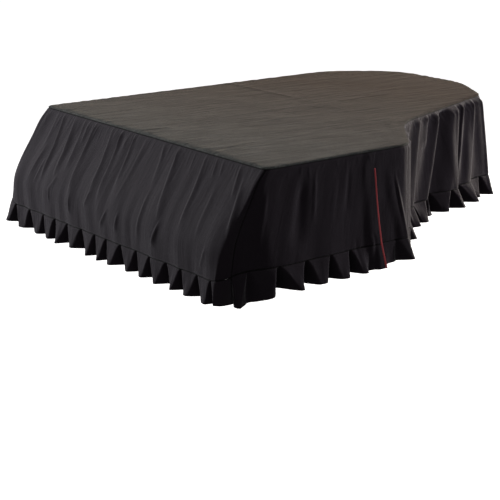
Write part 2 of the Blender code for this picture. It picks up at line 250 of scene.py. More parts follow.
class Loop:
    """A closed line of rounded corners, read by the length along it from its first corner's middle."""

    def __init__(self, corners):
        corners = [Corner(*row) for row in corners]
        places = np.array([(corner.x, corner.y) for corner in corners])
        points = []
        for index, corner in enumerate(corners):
            place = places[index]
            before = places[index - 1] - place
            after = places[(index + 1) % len(corners)] - place
            before /= np.linalg.norm(before)
            after /= np.linalg.norm(after)
            half_angle = 0.5 * math.acos(before @ after)
            inward = (before + after) / np.linalg.norm(before + after)
            centre = place + inward * corner.radius / math.sin(half_angle)
            start = place + before * corner.radius / math.tan(half_angle) - centre
            end = place + after * corner.radius / math.tan(half_angle) - centre
            first = math.atan2(start[1], start[0])
            turn = (math.atan2(end[1], end[0]) - first + math.pi) % math.tau - math.pi
            for angle in first + turn * np.linspace(0.0, 1.0, ARC_STEPS + 1):
                points.append(centre + corner.radius * np.array((math.cos(angle), math.sin(angle))))
        points = np.roll(np.array(points), -(ARC_STEPS // 2), axis=0)
        self.points = np.vstack((points, points[:1]))
        steps = np.linalg.norm(np.diff(self.points, axis=0), axis=1)
        self.lengths = np.concatenate(((0.0,), np.cumsum(steps)))
        self.total = self.lengths[-1]
        self.corners = self.lengths[::ARC_STEPS + 1]

    def at(self, along):
        wrapped = along % self.total
        return np.stack([np.interp(wrapped, self.lengths, self.points[:, axis]) for axis in (0, 1)], -1)

    def outward(self, along, reach=0.006):
        tangent = self.at(along + reach) - self.at(along - reach)
        normal = np.stack((tangent[..., 1], -tangent[..., 0]), -1)
        return normal / np.linalg.norm(normal, axis=-1, keepdims=True)


LID = Loop(LID_CORNERS)


def smooth(value):
    value = np.clip(value, 0.0, 1.0)
    return value * value * (3.0 - 2.0 * value)


def unevenness(across, down, seed, waves_across, waves_down, count=9):
    """A still, uneven swell between about -1 and 1, made of a few waves of mixed lengths."""
    mixed = random.Random(seed)
    total = np.zeros(np.broadcast(across, down).shape)
    for _ in range(count):
        turns = mixed.uniform(*waves_across) * across + mixed.uniform(-waves_down, waves_down) * down
        total += np.sin(math.tau * (turns + mixed.random())) * mixed.uniform(0.6, 1.0)
    return total / math.sqrt(count)


def add_group(name, inputs, outputs):
    """A shader node group with the sockets given, and its two end nodes."""
    group = bpy.data.node_groups.new(name, "ShaderNodeTree")
    for side, sockets in (("INPUT", inputs), ("OUTPUT", outputs)):
        for title, kind in sockets.items():
            group.interface.new_socket(title, in_out=side, socket_type="NodeSocket" + kind)
    return group, group.nodes.new("NodeGroupInput"), group.nodes.new("NodeGroupOutput")


def calculate(tree, operation, first, second=None, third=None):
    """A math node on sockets or numbers, whose result is its output socket."""
    node = add_node(tree, "Math")
    node.operation = operation
    for socket, value in zip(node.inputs, (first, second, third)):
        if isinstance(value, (int, float)):
            socket.default_value = value
        elif value is not None:
            tree.links.new(value, socket)
    return node.outputs[0]


# The weave, in metres of the cloth's own flat lay: crossing threads, slubs, and slow mottling.
THREAD_PITCH = 0.0011
THREAD_SHADE = 0.10
SLUBS_PER_METRE = 260.0
SLUB_SHADE = 0.55
SLUB_RELIEF = 0.5
MOTTLES_PER_METRE = 7.0
MOTTLES_FROM = 0.42
MOTTLE_CONTRAST = 3.2
WEAVE_ROUGHNESS = 0.80
WORN_SMOOTHER_BY = 0.10

weave, given, made = add_group(
    "plain weave",
    {"Flat lay": "Vector", "Dye": "Color", "Worn tone": "Color", "Mottling": "Float", "Slubs": "Float"},
    {"Color": "Color", "Roughness": "Float", "Height": "Float"})
apart = add_node(weave, "SeparateXYZ")
warp, weft = (
    calculate(weave, "SINE", calculate(weave, "MULTIPLY", apart.outputs[axis], math.pi / THREAD_PITCH))
    for axis in (0, 1))
crossing = calculate(weave, "MULTIPLY", warp, weft)
slubs = add_node(weave, "TexNoise", {"Scale": SLUBS_PER_METRE, "Detail": 2.0})
mottle = add_node(weave, "TexNoise", {"Scale": MOTTLES_PER_METRE, "Detail": 5.0, "Roughness": 0.62})
patchy = calculate(weave, "SUBTRACT", mottle.outputs["Fac"], MOTTLES_FROM)
patchy = calculate(weave, "MULTIPLY", patchy, MOTTLE_CONTRAST)
patchy = calculate(weave, "MULTIPLY", patchy, given.outputs["Mottling"])
thready = calculate(weave, "SUBTRACT", slubs.outputs["Fac"], 0.5)
thready = calculate(weave, "MULTIPLY", thready, given.outputs["Slubs"])
thready = calculate(weave, "MULTIPLY_ADD", crossing, THREAD_SHADE, thready)
share = calculate(weave, "ADD", patchy, thready)
share.node.use_clamp = True
blend = add_node(weave, "Mix")
blend.data_type = "RGBA"
weave.links.new(share, blend.inputs["Factor"])
rough = calculate(weave, "MULTIPLY_ADD", share, -WORN_SMOOTHER_BY, WEAVE_ROUGHNESS)
raised = calculate(weave, "MULTIPLY_ADD", slubs.outputs["Fac"], SLUB_RELIEF, crossing)
weave.links.new(rough, made.inputs["Roughness"])
weave.links.new(raised, made.inputs["Height"])
for part in (apart, slubs, mottle):
    join(given, "Flat lay", part, "Vector")
join(given, "Dye", blend, "A")
join(given, "Worn tone", blend, "B")
join(blend, "Result", made, "Color")

# Soft rumples, finer across the cloth than down it, which run the way the cloth was pulled.
rumples, given, made = add_group(
    "soft rumples", {"Flat lay": "Vector", "Per metre": "Vector"}, {"Height": "Float"})
stretch = add_node(rumples, "VectorMath")
stretch.operation = "MULTIPLY"
swell = add_node(rumples, "TexNoise", {"Scale": 1.0, "Detail": 3.5, "Roughness": 0.55, "Distortion": 0.7})
join(given, "Flat lay", stretch, 0)
join(given, "Per metre", stretch, 1)
join(stretch, 0, swell, "Vector")
join(swell, "Fac", made, "Height")

CLOTH_SHINE = 0.20
NAP_ROUGHNESS = 0.34
WEAVE_RELIEF = 0.00025
WEAVE_RELIEF_SHARE = 0.6


def cloth_material(name, dye, worn, mottling, sheen, sheen_tint, per_metre=(30.0, 4.0, 1.0), rumpled=0.0022,
                   slubby=SLUB_SHADE):
    """Woven cloth: the weave gives its colour, roughness and relief, and its fine nap a soft sheen. Its
    rumples are so many per metre, and so deep."""
    cloth = bpy.data.materials.new(name)
    cloth.use_nodes = True
    tree = cloth.node_tree
    shader = tree.nodes["Principled BSDF"]
    shader.inputs["Specular IOR Level"].default_value = CLOTH_SHINE
    shader.inputs["Sheen Weight"].default_value = sheen
    shader.inputs["Sheen Roughness"].default_value = NAP_ROUGHNESS
    shader.inputs["Sheen Tint"].default_value = (*sheen_tint, 1.0)
    lay = add_node(tree, "UVMap")
    lay.uv_map = "flat lay"
    threads = add_node(tree, "Group")
    threads.node_tree = weave
    soft = add_node(tree, "Group")
    soft.node_tree = rumples
    given = {"Dye": (*dye, 1.0), "Worn tone": (*worn, 1.0), "Mottling": mottling, "Slubs": slubby}
    for socket, value in given.items():
        threads.inputs[socket].default_value = value
    soft.inputs["Per metre"].default_value = per_metre
    relief = add_node(tree, "Bump", {"Distance": WEAVE_RELIEF, "Strength": WEAVE_RELIEF_SHARE})
    swells = add_node(tree, "Bump", {"Distance": rumpled, "Strength": 1.0})
    join(lay, "UV", threads, "Flat lay")
    join(threads, "Color", shader, "Base Color")
    join(threads, "Roughness", shader, "Roughness")
    join(threads, "Height", relief, "Height")
    join(lay, "UV", soft, "Flat lay")
    join(soft, "Height", swells, "Height")
    join(swells, "Normal", relief, "Normal")
    join(relief, "Normal", shader, "Normal")
    return cloth


# The top is the same black cloth as the sides but has a lighter dye: painted light, standing for the light
# that falls on the top.
PAINTED_LIGHT_TOP_CLOTH = cloth_material(
    "black cloth of the top with painted light", dye=(0.070, 0.078, 0.075), worn=(0.340, 0.356, 0.340), mottling=0.24,
    sheen=0.245, sheen_tint=(0.60, 0.50, 0.41), per_metre=(24.0, 5.0, 1.0), rumpled=0.0085, slubby=2.6)
# Painted seam shade: a darker, duller copy of the black cloth on the faces nearest each seam, standing for
# the shade in the seam's groove.
SEAM_SHADE_CLOTH = cloth_material(
    "black cloth with painted seam shade", dye=(0.010, 0.008, 0.0095), worn=(0.016, 0.013, 0.015), mottling=0.30,
    sheen=0.12, sheen_tint=(0.80, 0.80, 0.80))
RED_REVERSE = cloth_material(
    "red reverse", dye=(0.200, 0.014, 0.018), worn=(0.290, 0.030, 0.032), mottling=0.30,
    sheen=0.15, sheen_tint=(0.90, 0.45, 0.45))

# The top's base colour is painted browner and darker towards the tail: painted shade, where less light falls
# on the top.
PAINTED_TAIL_SHADE = (0.20, 0.06, 0.01, 1.0)
TOWARDS_TAIL = (-0.28, 0.90, 0.0)
TAIL_SHADE_FROM = -0.50
TAIL_SHADE_FULL_AT = 0.60

tree = PAINTED_LIGHT_TOP_CLOTH.node_tree
shader = tree.nodes["Principled BSDF"]
dyed = shader.inputs["Base Color"].links[0].from_node
lay = dyed.inputs["Flat lay"].links[0].from_node
lengthwise = add_node(tree, "VectorMath", {1: TOWARDS_TAIL})
lengthwise.operation = "DOT_PRODUCT"
tail_shade_share = add_node(tree, "MapRange", {"From Min": TAIL_SHADE_FROM, "From Max": TAIL_SHADE_FULL_AT})
tail_shade_colour = add_node(tree, "Mix")
tail_shade_colour.data_type = "RGBA"
tail_shade_colour.inputs["A"].default_value = WHITE
tail_shade_colour.inputs["B"].default_value = PAINTED_TAIL_SHADE
# painted shade: the top's colour is multiplied by a brown that deepens towards the tail
shaded_dye = add_node(tree, "Mix")
shaded_dye.data_type = "RGBA"
shaded_dye.blend_type = "MULTIPLY"
shaded_dye.inputs["Factor"].default_value = 1.0
join(lay, "UV", lengthwise, 0)
join(lengthwise, "Value", tail_shade_share, "Value")
join(tail_shade_share, "Result", tail_shade_colour, "Factor")
join(dyed, "Color", shaded_dye, "A")
join(tail_shade_colour, "Result", shaded_dye, "B")
join(shaded_dye, "Result", shader, "Base Color")

SEAM_SHADE_SLOT = 2
SEAM_SHADE_FACE_SHARE = 0.7


def add_sheet(name, points, lay, faces, outer, sewn, reverse=RED_REVERSE, thickness=CLOTH):
    """A sheet of cloth: an open surface with its flat lay, how near each point is to a seam (1 at the seam),
    which puts painted seam shade on the faces nearest it, and its thickness on the inner side."""
    mesh = bpy.data.meshes.new(name)
    mesh.from_pydata(points.tolist(), [], faces)
    mesh.uv_layers.new(name="flat lay")
    corner_points = np.empty(len(mesh.loops), dtype=np.int32)
    mesh.loops.foreach_get("vertex_index", corner_points)
    mesh.uv_layers["flat lay"].data.foreach_set("uv", lay[corner_points].astype(np.float32).ravel())
    mesh.shade_smooth()
    # slots: a face's own cloth and its reverse, then the cloth with painted seam shade and its reverse
    for cloth in (outer, reverse, SEAM_SHADE_CLOTH, reverse):  # a face's own, then its reverse
        mesh.materials.append(cloth)
    sewn = np.ravel(sewn)
    # faces nearest a seam take the painted seam shade
    in_seam_shade = [SEAM_SHADE_SLOT if sum(sewn[point] for point in face) > SEAM_SHADE_FACE_SHARE * len(face) else 0
               for face in faces]
    mesh.polygons.foreach_set("material_index", in_seam_shade)
    sheet = bpy.data.objects.new(name, mesh)
    bpy.context.collection.objects.link(sheet)
    body = sheet.modifiers.new("thickness", "SOLIDIFY")
    body.thickness = thickness
    body.offset = -1.0
    body.material_offset = 1
    return sheet


def top_relief(x, y):
    """Height of the wrinkles of the top over the lid."""
    height = TOP_SWELL * (1.0 + unevenness(x, y, 3, (0.8, 3.5), 3.0))
    for wrinkle in (TopWrinkle(*row) for row in TOP_WRINKLES):
        run = Vector((wrinkle.x1 - wrinkle.x0, wrinkle.y1 - wrinkle.y0))
        forward = ((x - wrinkle.x0) * run.x + (y - wrinkle.y0) * run.y) / (WRINKLE_REACH * run.length_squared)
        aside = ((x - wrinkle.x0) * run.y - (y - wrinkle.y0) * run.x) / run.length
        bowed = aside + WRINKLE_BOW * run.length * (forward * (1.0 - forward))
        taper = smooth(forward / WRINKLE_START + 0.5) * smooth((1.0 - forward) / WRINKLE_TAIL)
        width = wrinkle.width * np.where(bowed > 0.0, WRINKLE_NEAR_SIDE, WRINKLE_FAR_SIDE)
        height = height + WRINKLE_GAIN * wrinkle.height * taper * np.exp(-((bowed / width) ** 2))
    return height


along = np.concatenate((
    np.linspace(0.0, LID.corners[1], TOP_FRONT_COLUMNS, endpoint=False),
    np.linspace(LID.corners[1], LID.total, TOP_COLUMNS - TOP_FRONT_COLUMNS, endpoint=False)))
turned = np.array(EDGE_TURN)[::-1]
edge = LID.at(along)[None] - LID.outward(along)[None] * turned[:, 0, None, None]
shares = (np.arange(1, TOP_RINGS) / TOP_RINGS) ** TOP_RING_CROWDING
inner = edge[-1][None] + (np.array(TOP_CENTRE) - edge[-1])[None] * shares[:, None, None]
rings = np.concatenate((edge, inner))
flat = np.vstack((rings.reshape(-1, 2), TOP_CENTRE))
drops = np.append(np.repeat(np.concatenate((turned[:, 1], np.zeros(len(inner)))), TOP_COLUMNS), 0.0)
inset = np.concatenate((turned[:, 0], turned[-1, 0] + shares * TOP_HALF_WIDTH))
inset = np.append(np.repeat(inset, TOP_COLUMNS), TOP_HALF_WIDTH)
wrinkled = top_relief(flat[:, 0], flat[:, 1]) * smooth(inset / WRINKLES_FADE_IN) * (drops < TOP_FLAT_TO)
puckers = unevenness(np.append(np.tile(along, len(rings)), 0.0), 0.0, 4, (9.0, 26.0), 0.0, 12)
puckers *= np.exp(-((inset / EDGE_PUCKER_REACH) ** 2)) * smooth((EDGE_DROP - drops) / EDGE_DROP)
heights = CLOTH - drops + wrinkled + EDGE_PUCKER * puckers
top_points = np.column_stack((flat, heights))
faces = []
for ring in range(len(rings) - 1):
    for column in range(TOP_COLUMNS):
        after = (column + 1) % TOP_COLUMNS
        faces.append((ring * TOP_COLUMNS + column, ring * TOP_COLUMNS + after,
                      (ring + 1) * TOP_COLUMNS + after, (ring + 1) * TOP_COLUMNS + column))
last = (len(rings) - 1) * TOP_COLUMNS
for column in range(TOP_COLUMNS):
    faces.append((last + column, last + (column + 1) % TOP_COLUMNS, len(flat) - 1))
# the turned-in allowance under the top's edge takes the painted seam shade
top = add_sheet("top_panel_cloth", top_points, flat, faces, PAINTED_LIGHT_TOP_CLOTH,
                smooth((drops - EDGE_SEAM_SHADE_FROM) / EDGE_SEAM_SHADE_OVER))
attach(top, "root")
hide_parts("top_panel")


# The front panel: black cloth sewn to the top panel's front edge. It slopes out below the lid and then
# hangs from a soft break. The cloth is drawn up a little along its top seam, so soft folds run down it,
# and they lean towards the bass side.
TOP_DROP = EDGE_DROP + SEAM_GAP
SIDE_SEAM_DROP = 0.317
FRONT_SEAM_DROP = 0.345
CORNER_BLEND = 0.10
FRONT_SECTION = ((0.00, 0.00), (0.30, 0.45), (0.55, 0.82), (0.68, 0.95), (1.00, 1.00))
SIDE_SECTION = ((0.00, 0.00), (0.10, 0.22), (0.30, 0.42), (1.00, 1.00))
SEAM_DIP = 0.0020
SEAM_ROLL = 0.005
SEAM_ALLOWANCE = 0.007
SEAM_STEPS = (0.0, 0.0008, 0.0022, 0.0048)
FACE_SWELL = 0.0009
FACE_SWELL_FADE = 0.2
SEAM_CORNERS = (
    ("front bass", -0.773, -0.774, 0.062),
    ("front treble", 0.790, -0.772, 0.060),
    ("rear treble", 0.716, -0.018, 0.090),
    ("waist", 0.376, 0.209, 0.420),
    ("tail treble", 0.078, 0.870, 0.110),
    ("tail end treble", -0.140, 0.956, 0.380),
    ("tail end bass", -0.562, 0.950, 0.280),
    ("tail bass", -0.782, 0.698, 0.240),
)

# A broad fold's place along the lid's edge from the panel's start, its half width and its height, at
# the top and at the seam. A trough has a height below 0.
Fold = namedtuple(
    "Fold", "at_top at_seam width_top width_seam height_top height_seam steepness", defaults=(1.0,))
FOLD_RISE = 0.07
FOLD_FOOT = 1.6
FRONT_FOLDS = (
    (0.045, 0.080, 0.025, 0.040, 0.004, 0.006),
    (0.135, 0.190, 0.022, 0.040, 0.003, 0.005),
    (0.275, 0.330, 0.022, 0.040, 0.003, 0.004),
    (0.355, 0.410, 0.024, 0.040, 0.003, 0.003),
    (0.425, 0.520, 0.024, 0.048, 0.004, 0.006),
    (0.560, 0.640, 0.022, 0.044, 0.003, 0.004),
    (0.650, 0.730, 0.022, 0.042, 0.003, 0.004),
    (0.720, 0.830, 0.024, 0.050, 0.003, 0.004),
    (1.000, 1.080, 0.030, 0.060, 0.003, 0.006),
    (1.190, 1.240, 0.024, 0.050, 0.002, 0.004),
    (1.385, 1.412, 0.024, 0.046, 0.002, 0.005),
)

# A narrow crease's place along the lid's edge at its upper end, middle and lower end, the shares of the
# drop where it starts and ends, its half width and its height.
Crease = namedtuple("Crease", "at_top at_middle at_end start end width height steepness", defaults=(1.0,))
FRONT_CREASES = (
    (0.018, 0.036, 0.052, 0.00, 0.62, 0.009, 0.004),
    (0.108, 0.134, 0.150, 0.00, 0.36, 0.010, 0.0025),
    (0.155, 0.222, 0.250, 0.00, 0.70, 0.011, 0.006),
    (0.160, 0.167, 0.160, 0.28, 0.70, 0.009, 0.0022),
    (0.203, 0.212, 0.204, 0.42, 0.72, 0.009, 0.0028),
    (0.245, 0.308, 0.340, 0.00, 0.66, 0.015, 0.006),
    (0.352, 0.342, 0.312, 0.52, 0.74, 0.012, 0.003),
    (0.320, 0.362, 0.388, 0.00, 0.52, 0.011, 0.004),
    (0.352, 0.372, 0.386, 0.00, 0.24, 0.008, 0.0026),
    (0.408, 0.446, 0.488, 0.00, 0.74, 0.014, 0.007),
    (0.488, 0.494, 0.497, 0.64, 0.90, 0.008, 0.0028),
    (0.528, 0.586, 0.612, 0.00, 0.66, 0.011, 0.0045),
    (0.612, 0.608, 0.596, 0.56, 0.76, 0.010, 0.0034),
    (0.598, 0.646, 0.674, 0.00, 0.68, 0.013, 0.0065),
    (0.689, 0.724, 0.745, 0.00, 0.52, 0.011, 0.0062),
    (0.770, 0.790, 0.792, 0.00, 0.68, 0.016, 0.002),
    (0.762, 0.735, 0.708, 0.66, 0.92, 0.008, 0.0036),
    (0.834, 0.825, 0.816, 0.66, 0.90, 0.008, 0.0026),
    (0.884, 0.928, 0.950, 0.00, 0.42, 0.014, 0.003),
    (0.950, 0.967, 0.960, 0.36, 0.92, 0.012, 0.003),
    (0.990, 1.034, 1.088, 0.00, 0.68, 0.014, 0.0042),
    (1.094, 1.080, 1.056, 0.60, 0.92, 0.010, 0.0048),
    (1.160, 1.196, 1.214, 0.00, 0.68, 0.012, 0.0046),
    (1.222, 1.238, 1.250, 0.00, 0.18, 0.007, 0.003),
    (1.262, 1.276, 1.288, 0.00, 0.16, 0.007, 0.0026),
    (1.285, 1.308, 1.314, 0.16, 0.72, 0.015, 0.0026),
    (1.366, 1.390, 1.412, 0.00, 0.30, 0.010, 0.004),
    (1.405, 1.450, 1.474, 0.04, 0.68, 0.012, 0.005),
    (0.330, 0.334, 0.336, 0.68, 0.84, 0.006, 0.0024),
    (1.390, 1.372, 1.352, 0.68, 0.94, 0.010, 0.0028),
)
FRONT_CREASE_SPREAD = 1.5
FRONT_CREASE_GAIN = 1.2
FRONT_CREASE_STEEPNESS = 0.70
CREASE_WIDTH = 0.55
CREASE_HEIGHT = 0.95
CREASE_FADE = 0.35
CREASE_FADE_AT_SEAM = 0.05
CREASE_NARROW, CREASE_WIDENS_BY = 0.72, 0.5

# The stretches of a top seam with fine puckers: where each starts and ends, and how many it has. A
# pucker's length is a share of the drop.
FRONT_PUCKERS = ((0.02, 0.76, 44), (0.78, 1.46, 16))
PUCKER_LENGTH = (0.05, 0.20)
PUCKER_LEAN = 0.06
PUCKER_WIDTH = (0.0035, 0.0065)
PUCKER_HEIGHT = (0.0008, 0.0022)

# The corner trough's near edge, its deepest line and its far edge along the lid's edge, at the seam.
CORNER_TROUGH = (-0.052, 0.020, 0.139)
CORNER_TROUGH_DEPTH = 0.038
CORNER_TROUGH_AT_TOP = 0.06

SEAM = Loop(SEAM_CORNERS)
FRONT_TREBLE = LID.corners[1]
BLACK_CLOTH = cloth_material(
    "black cloth of the sides", dye=(0.027, 0.020, 0.028), worn=(0.038, 0.030, 0.039), mottling=0.28,
    sheen=0.66, sheen_tint=(0.82, 0.80, 0.84))


def frontness(along):
    """1 across the front, 0 along the sides, and a half at the two front corners."""
    middle = FRONT_TREBLE / 2.0
    away = np.abs((along - middle + LID.total / 2.0) % LID.total - LID.total / 2.0) - middle
    return 1.0 - smooth(away / (2.0 * CORNER_BLEND) + 0.5)


def seam_drop(along):
    return SIDE_SEAM_DROP + (FRONT_SEAM_DROP - SIDE_SEAM_DROP) * frontness(along)


def through(table, share):
    """A soft curve through the points of a section's table."""
    at, value = np.array(table).T
    slopes = np.gradient(value, at)
    place = np.clip(np.searchsorted(at, share, side="right") - 1, 0, len(at) - 2)
    step = at[place + 1] - at[place]
    t = (share - at[place]) / step
    rise = value[place + 1] - value[place]
    return (value[place] + rise * t * t * (3.0 - 2.0 * t) + slopes[place] * step * t * (1.0 - t) ** 2
            - slopes[place + 1] * step * t * t * (1.0 - t))


def fold_height(along, share, start, folds):
    height = np.zeros_like(along)
    for fold in (Fold(*row) for row in folds):
        centre = start + fold.at_top + (fold.at_seam - fold.at_top) * share
        width = fold.width_top + (fold.width_seam - fold.width_top) * share
        crest = fold.height_top + (fold.height_seam - fold.height_top) * share
        away = along - centre
        steepness = np.where(away > 0.0, fold.steepness, 1.0)
        nearness = np.clip(steepness * np.abs(away) / (FOLD_FOOT * width), 0.0, 1.0)
        height += crest * (0.5 + 0.5 * np.cos(math.pi * nearness))
    return height * smooth(share / FOLD_RISE)


def crease_height(along, share, start, creases):
    height = np.zeros_like(along)
    for crease in (Crease(*row) for row in creases):
        t = np.clip((share - crease.start) / (crease.end - crease.start), 0.0, 1.0)
        centre = (crease.at_top * (1.0 - t) * (1.0 - 2.0 * t) + 4.0 * crease.at_middle * t * (1.0 - t)
                  + crease.at_end * t * (2.0 * t - 1.0))
        rise = smooth(share / CREASE_FADE_AT_SEAM) if crease.start == 0.0 else smooth(t / CREASE_FADE)
        fall = smooth((1.0 - t) / CREASE_FADE) if crease.end < 1.0 else 1.0
        width = CREASE_WIDTH * crease.width * (CREASE_NARROW + CREASE_WIDENS_BY * t)
        away = (along - start - centre) / width
        away = away * np.where(away > 0.0, crease.steepness, 1.0 / crease.steepness)
        height += CREASE_HEIGHT * crease.height * rise * fall * np.exp(-(away ** 2))
    return height


def corner_trough(along, share):
    """The cloth turns back at the front panel's treble edge and falls into a trough round the corner."""
    away = along - FRONT_TREBLE
    left = CORNER_TROUGH[0] * (CORNER_TROUGH_AT_TOP + (1.0 - CORNER_TROUGH_AT_TOP) * share ** 1.5)
    opened = CORNER_TROUGH_AT_TOP + (1.0 - CORNER_TROUGH_AT_TOP) * share
    deepest, right = (place * opened for place in CORNER_TROUGH[1:])
    falling = np.sin(0.5 * math.pi * np.clip((away - left) / (deepest - left), 0.0, 1.0))
    rising = smooth((right - away) / (right - deepest))
    return -CORNER_TROUGH_DEPTH * share ** 0.8 * np.where(away < deepest, falling, rising)


def gathered_creases(stretches, seed):
    """Short uneven puckers along a top seam, each a narrow crease that dies out below it."""
    uneven = random.Random(seed)
    creases = []
    for first, last, count in stretches:
        for index in range(count):
            at = first + (last - first) * (index + uneven.uniform(0.1, 0.9)) / count
            length = uneven.uniform(*PUCKER_LENGTH)
            lean = uneven.uniform(0.0, PUCKER_LEAN) * length / PUCKER_LENGTH[1]
            creases.append((at, at + 0.5 * lean, at + lean, 0.0, length, uneven.uniform(*PUCKER_WIDTH),
                            uneven.uniform(*PUCKER_HEIGHT)))
    return creases


def panel_drop(share):
    return TOP_DROP + (SIDE_SEAM_DROP - TOP_DROP) * share


def no_lift(along, drop):
    return 0.0 * along


# A stretch of the sides: the lines where it starts and ends at a drop, where its tables are measured
# from, its folds and creases, whether its two ends are sewn in, how its cloth is lifted, and whether it
# ends in the slit's flap.
Side = namedtuple("Side", "start end tables_from folds creases sewn lift flap", defaults=(no_lift, False))


def seam_before(place):
    """The line just before an upright seam at a place along the lid's edge."""
    return lambda drop: np.full_like(drop, place - SEAM_GAP / 2.0)


def seam_after(place):
    return lambda drop: np.full_like(drop, place + SEAM_GAP / 2.0)


def hang(along, share, side):
    """Points on the outer face of a hanging panel, and the outward direction at each."""
    front = frontness(along)
    reach = (front * through(FRONT_SECTION, share) + (1.0 - front) * through(SIDE_SECTION, share))[..., None]
    along_seam = np.interp(along, LID.corners, SEAM.corners)
    outward = LID.outward(along) * (1.0 - reach) + SEAM.outward(along_seam) * reach
    outward /= np.linalg.norm(outward, axis=-1, keepdims=True)
    drop = TOP_DROP + (seam_drop(along) - TOP_DROP) * share
    height = fold_height(along, share, side.tables_from, side.folds)
    height = height + crease_height(along, share, side.tables_from, side.creases)
    swell = unevenness(along, drop, 21, (3.0, 19.0), 2.5, 12)
    swell = swell * (1.0 + unevenness(along, drop, 22, (1.0, 3.0), 2.0))
    height = height + FACE_SWELL * swell * smooth(share / FACE_SWELL_FADE) + side.lift(along, drop)
    height = height + corner_trough(along, share)
    flat = LID.at(along) * (1.0 - reach) + SEAM.at(along_seam) * reach + outward * height[..., None]
    return np.concatenate((flat, (CLOTH - drop)[..., None]), -1), outward


def sewn_ends(length, steps, sewn):
    """Even steps between two edges, closer where the cloth rolls into a seam, with how far each step is
    turned in: at a sewn edge the seam allowance is turned inside."""
    near = np.array(SEAM_STEPS) / length
    between = np.linspace(near[-1], 1.0 - near[-1], steps + 1)
    steps = np.concatenate((near[:-1], between, 1.0 - near[:-1][::-1]))
    turned = np.zeros(len(steps))
    if sewn[0]:
        steps, turned = np.insert(steps, 0, 0.0), np.insert(turned, 0, SEAM_ALLOWANCE)
    if sewn[1]:
        steps, turned = np.append(steps, 1.0), np.append(turned, SEAM_ALLOWANCE)
    return steps, turned


def by_seam(distance):
    """1 at a seam, where the cloth sinks in, and 0 beyond the roll of its edge."""
    return 1.0 - smooth(distance / SEAM_ROLL)


def grid_faces(rows, columns):
    return [(row * columns + column, (row + 1) * columns + column, (row + 1) * columns + column + 1,
             row * columns + column + 1) for row in range(rows - 1) for column in range(columns - 1)]


def near_seam(from_head, fraction, length, sewn):
    """1 at the nearest seam of a piece, at its head or a sewn side, and 0 away from them all."""
    seam = by_seam(from_head)
    for is_sewn, share_off in zip(sewn, (fraction, 1.0 - fraction)):
        if is_sewn:
            seam = np.maximum(seam, by_seam(share_off * length))
    return seam


def add_hanging(name, points, lay, seam):
    """A piece of the black cloth of the sides, in place of the solid of the same name."""
    faces = grid_faces(*seam.shape)
    sheet = add_sheet(name, points.reshape(-1, 3), lay.reshape(-1, 2), faces, BLACK_CLOTH, seam)
    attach(sheet, "root")
    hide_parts(name.replace("_cloth", ""))
    return sheet


def spread(side, shares, drop_at, spacing):
    """A grid over a side: shares down and across, places along the lid's edge, the side's length, and
    how far each column is turned in."""
    length = float(np.mean(side.end(drop_at(shares)) - side.start(drop_at(shares))))
    fractions, turned_columns = sewn_ends(length, round(length / spacing), side.sewn)
    share, fraction = np.meshgrid(shares, fractions, indexing="ij")
    drop = drop_at(share)
    along = side.start(drop) + (side.end(drop) - side.start(drop)) * fraction
    return share, fraction, along, length, turned_columns


def add_panel(name, side, spacing, rows):
    """A hanging panel, sewn in at its top, its foot and the ends that the side names."""
    shares, turned_rows = sewn_ends(SIDE_SEAM_DROP, rows, (True, True))
    share, fraction, along, length, turned_columns = spread(side, shares, panel_drop, spacing)
    points, outward = hang(along, share, side)
    seam = near_seam(np.minimum(share, 1.0 - share) * SIDE_SEAM_DROP, fraction, length, side.sewn)
    points[..., :2] -= outward * (SEAM_DIP * seam + turned_rows[:, None] + turned_columns)[..., None]
    return add_hanging(name, points, np.stack((along, -points[..., 2]), -1), seam)


front_creases = [(*row[:5], FRONT_CREASE_SPREAD * row[5], FRONT_CREASE_GAIN * row[6], FRONT_CREASE_STEEPNESS)
                 for row in FRONT_CREASES]
front_creases += gathered_creases(FRONT_PUCKERS, seed=5)
front_side = Side(seam_after(0.0), seam_before(FRONT_TREBLE), 0.0, FRONT_FOLDS, front_creases, (True, True))
front = add_panel("front_panel_cloth", front_side, spacing=0.0027, rows=54)


# The treble panel: the right side, from the front corner to the slit, nearly smooth. Its cloth falls
# into a deep trough beside the front corner. Its rear edge is a flap over the slit, which lets a hand
# in to open the lid's front part.
SLIT_AT = 0.433
SLIT_SWEEP = 0.063
SLIT_DROP = 0.062
RUFFLE_DEPTH = 0.074
FLAP_MARGIN = 0.050
FLAP_LIFT = 0.0036
FLAP_FLARE = 0.009
FLAP_CLEAR = 0.006
UNDERLAP = 0.016
TREBLE_FOLDS = (
    (0.175, 0.190, 0.050, 0.060, 0.002, 0.007),
    (0.300, 0.305, 0.045, 0.050, 0.001, 0.006),
)
TREBLE_CREASES = (
    (0.040, 0.060, 0.080, 0.10, 0.90, 0.012, 0.003),
    (0.168, 0.186, 0.200, 0.04, 0.94, 0.040, -0.01),
    (0.208, 0.228, 0.244, 0.02, 0.70, 0.011, 0.003),
    (0.343, 0.352, 0.358, 0.04, 0.66, 0.017, -0.0034),
    (0.300, 0.302, 0.306, 0.10, 0.80, 0.014, 0.0012),
    (0.405, 0.412, 0.420, 0.04, 0.50, 0.012, 0.0012),
    (0.452, 0.462, 0.468, 0.84, 1.00, 0.006, -0.003),
    (0.436, 0.444, 0.449, 0.88, 1.00, 0.005, -0.0022),
    (0.400, 0.405, 0.408, 0.88, 1.00, 0.007, -0.0018),
)
TREBLE_PUCKERS = ((0.06, 0.42, 8),)

SLIT = FRONT_TREBLE + SLIT_AT


def slit_line(drop):
    """The slit's place along the lid's edge at a drop: it runs a little back on its way down."""
    return SLIT + SLIT_SWEEP * drop / (SIDE_SEAM_DROP + RUFFLE_DEPTH)


